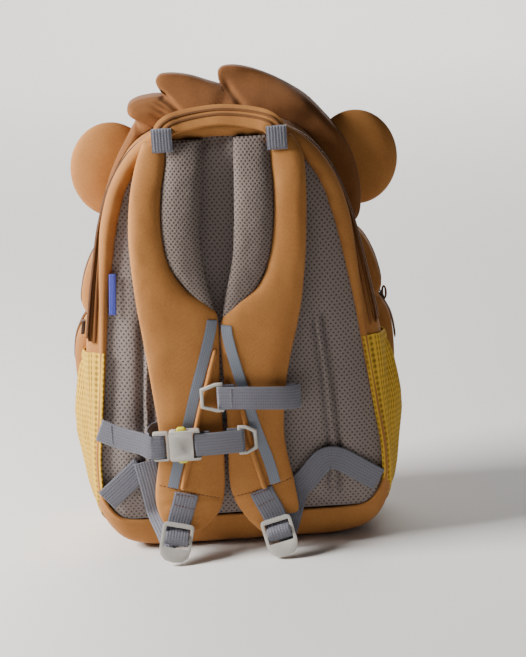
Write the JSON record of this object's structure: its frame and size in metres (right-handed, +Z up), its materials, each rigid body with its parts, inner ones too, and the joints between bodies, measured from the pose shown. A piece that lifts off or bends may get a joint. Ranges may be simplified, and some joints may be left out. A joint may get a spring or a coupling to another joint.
{
  "type": "child's animal backpack with a padded harness",
  "caption": "Small child's backpack shaped as a maned animal: padded mesh back, shoulder straps, chest strap with buckle, gathered side pockets, ears and a tufted crest.",
  "frame": {"origin": "centre of the flat base, on the surface it stands on", "axes": "+Z up; -Y towards the wearer's back (harness side); +Y the animal's face; +X to the right as the harness side is seen"},
  "size_m": [0.2258, 0.1455, 0.312],
  "materials": {
    "canvas": "woven polyester twill, matt",
    "head": "woven polyester, padded, matt",
    "mesh": "spacer mesh with hexagonal holes",
    "stretch": "ribbed stretch knit",
    "webbing": "woven polyester webbing",
    "plastic": "moulded acetal, satin",
    "arm": "moulded acetal, satin",
    "stripe": "retroreflective tape",
    "label": "woven ribbon",
    "face": "brushed felt",
    "dark": "felt",
    "zip": "coil zip tape"
  },
  "bodies": {
    "root": {"main_shell": "canvas", "back_panel": "mesh", "rim_roll": "canvas", "main_zip": "zip", "main_zip_slider": "plastic", "mane_crest": "head", "front_pocket": "head", "pocket_zip": "zip", "pocket_zip_slider": "zip", "pocket_zip_pull": "zip", "muzzle": "face", "nose": "dark", "grab_handle": "canvas", "chest_webbing_upper": "webbing", "chest_webbing_lower": "webbing", "chest_webbing_tail": "webbing", "buckle_socket": "plastic", "buckle_plug": "plastic", "buckle_arms": "arm", "label_tab": "label", "ear_left": "canvas", "eye_left": "dark", "side_pocket_left": "stretch", "handle_tab_left": "webbing", "strap_left": "canvas", "strap_lining_left": "mesh", "reflective_stripe_left": "stripe", "strap_rail_left": "canvas", "strap_webbing_left": "webbing", "ladder_lock_left": "plastic", "lower_webbing_left": "webbing", "rail_ring_left": "plastic", "ear_right": "canvas", "eye_right": "dark", "side_pocket_right": "stretch", "handle_tab_right": "webbing", "strap_right": "canvas", "strap_lining_right": "mesh", "reflective_stripe_right": "stripe", "strap_rail_right": "canvas", "strap_webbing_right": "webbing", "ladder_lock_right": "plastic", "lower_webbing_right": "webbing", "rail_ring_right": "plastic"}
  },
  "joints": []
}
